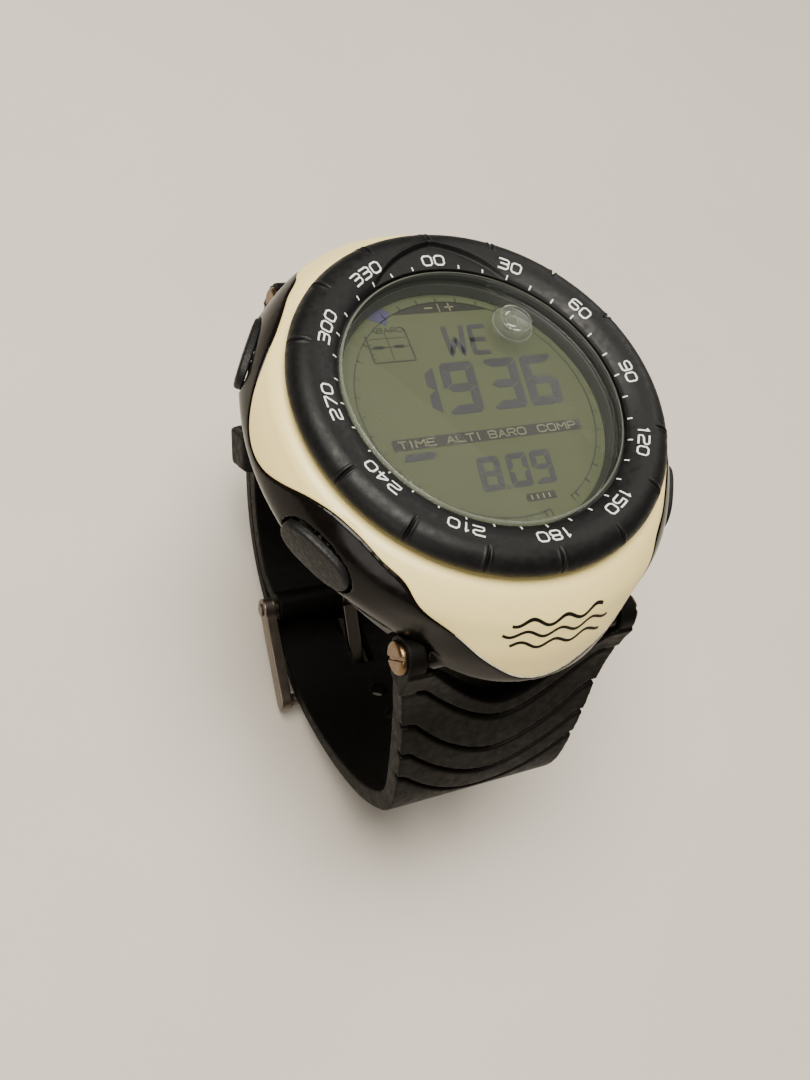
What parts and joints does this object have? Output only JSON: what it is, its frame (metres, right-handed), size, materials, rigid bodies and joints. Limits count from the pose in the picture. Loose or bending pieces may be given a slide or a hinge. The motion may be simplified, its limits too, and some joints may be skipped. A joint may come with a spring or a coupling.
{
  "type": "wrist instrument",
  "caption": "Round wrist-top instrument with a turning degree bezel, segment display, bubble level, push buttons, battery hatch and a grooved rubber strap closed by a pin buckle.",
  "frame": {"origin": "centre of the flat back face, on the bezel's axis", "axes": "-Z is the case back's outward normal, +Z comes out of the display, +Y points to the 12 o'clock side and +X to the 3 o'clock side"},
  "size_m": [0.0544, 0.071, 0.0681],
  "materials": {
    "case_plastic": "gloss",
    "cover_paint": "satin",
    "bezel_plastic": "matte",
    "spring_steel": "satin",
    "white_plastic": "matte",
    "crystal_clear": "gloss",
    "seal_rubber": "matte",
    "vial_clear": "gloss",
    "level_liquid": "gloss",
    "ring_plastic": "satin",
    "lcd_glass": "satin",
    "backlight_film": "matte",
    "contact_rubber": "matte",
    "board_green": "satin",
    "chip_black": "matte",
    "can_metal": "satin",
    "coil_copper": "satin",
    "cell_steel": "satin",
    "back_plastic": "satin",
    "screw_steel": "polished",
    "strap_rubber": "matte",
    "buckle_steel": "satin",
    "button_rubber": "matte"
  },
  "bodies": {
    "case": {"back_cover": "back_plastic", "back_gasket": "seal_rubber", "back_screws": "screw_steel", "backlight_panel": "backlight_film", "battery": "cell_steel", "battery_spring_minus": "spring_steel", "battery_spring_plus": "spring_steel", "battery_tray": "white_plastic", "bezel_glide_washer": "white_plastic", "bezel_retaining_ring": "spring_steel", "buckle_bar": "buckle_steel", "button_10_o_ring": "seal_rubber", "button_10_spring": "spring_steel", "button_2_o_ring": "seal_rubber", "button_2_spring": "spring_steel", "button_4_o_ring": "seal_rubber", "button_4_spring": "spring_steel", "button_8_o_ring": "seal_rubber", "button_8_spring": "spring_steel", "buzzer": "chip_black", "case_body": "case_plastic", "circuit_board": "board_green", "compass_sensor": "chip_black", "contact_strip_12": "contact_rubber", "contact_strip_6": "contact_rubber", "crystal": "crystal_clear", "crystal_gasket": "seal_rubber", "crystal_oscillator": "can_metal", "display_glass": "lcd_glass", "display_housing": "white_plastic", "display_ring": "ring_plastic", "level_fluid": "level_liquid", "level_vial": "vial_clear", "lug_screws_12": "screw_steel", "lug_screws_6": "screw_steel", "lug_tube_12": "screw_steel", "lug_tube_6": "screw_steel", "memory_chip": "chip_black", "pressure_sensor": "can_metal", "processor": "chip_black", "receiver_coil": "coil_copper", "strap_long": "strap_rubber", "strap_short": "strap_rubber", "top_cover": "cover_paint"},
    "bezel": {"bezel_ring": "bezel_plastic"},
    "hatch": {"battery_hatch": "back_plastic", "hatch_o_ring": "seal_rubber"},
    "buckle": {"buckle_frame": "buckle_steel"},
    "tongue": {"buckle_tongue": "buckle_steel"},
    "keeper": {"strap_keeper": "strap_rubber"},
    "button_2_body": {"button_2": "button_rubber", "button_2_clip": "spring_steel"},
    "button_4_body": {"button_4": "button_rubber", "button_4_clip": "spring_steel"},
    "button_8_body": {"button_8": "button_rubber", "button_8_clip": "spring_steel"},
    "button_10_body": {"button_10": "button_rubber", "button_10_clip": "spring_steel"}
  },
  "joints": [
    {"name": "bezel_turn", "type": "hinge", "parent": "case", "child": "bezel", "pos_m": [0, 0, 0.0135], "axis": [0, 0, 1], "continuous": true},
    {"name": "hatch_turn", "type": "hinge", "parent": "case", "child": "hatch", "pos_m": [0, 0, 0.0008], "axis": [0, 0, -1], "range_deg": [0, 90]},
    {"name": "button_2_press", "type": "slide", "parent": "case", "child": "button_2_body", "axis": [-0.866, -0.5, 0], "range_m": [0, 0.0008], "stiffness_N_per_m": 500, "springref_m": -0.0006},
    {"name": "button_10_press", "type": "slide", "parent": "case", "child": "button_10_body", "axis": [0.866, -0.5, 0], "range_m": [0, 0.0008], "stiffness_N_per_m": 500, "springref_m": -0.0006},
    {"name": "button_8_press", "type": "slide", "parent": "case", "child": "button_8_body", "axis": [0.866, 0.5, 0], "range_m": [0, 0.0008], "stiffness_N_per_m": 500, "springref_m": -0.0006},
    {"name": "button_4_press", "type": "slide", "parent": "case", "child": "button_4_body", "axis": [-0.866, 0.5, 0], "range_m": [0, 0.0008], "stiffness_N_per_m": 500, "springref_m": -0.0006},
    {"name": "buckle_hinge", "type": "hinge", "parent": "case", "child": "buckle", "pos_m": [0, 0.0015, -0.045], "axis": [1, 0, 0], "range_deg": [0, 5]},
    {"name": "tongue_hinge", "type": "hinge", "parent": "buckle", "child": "tongue", "pos_m": [0, 0.0015, -0.045], "axis": [1, 0, 0], "range_deg": [0, 8]},
    {"name": "keeper_slide", "type": "slide", "parent": "case", "child": "keeper", "axis": [0, 0.6591, 0.7521], "range_m": [-0.0025, 0.0025]}
  ]
}
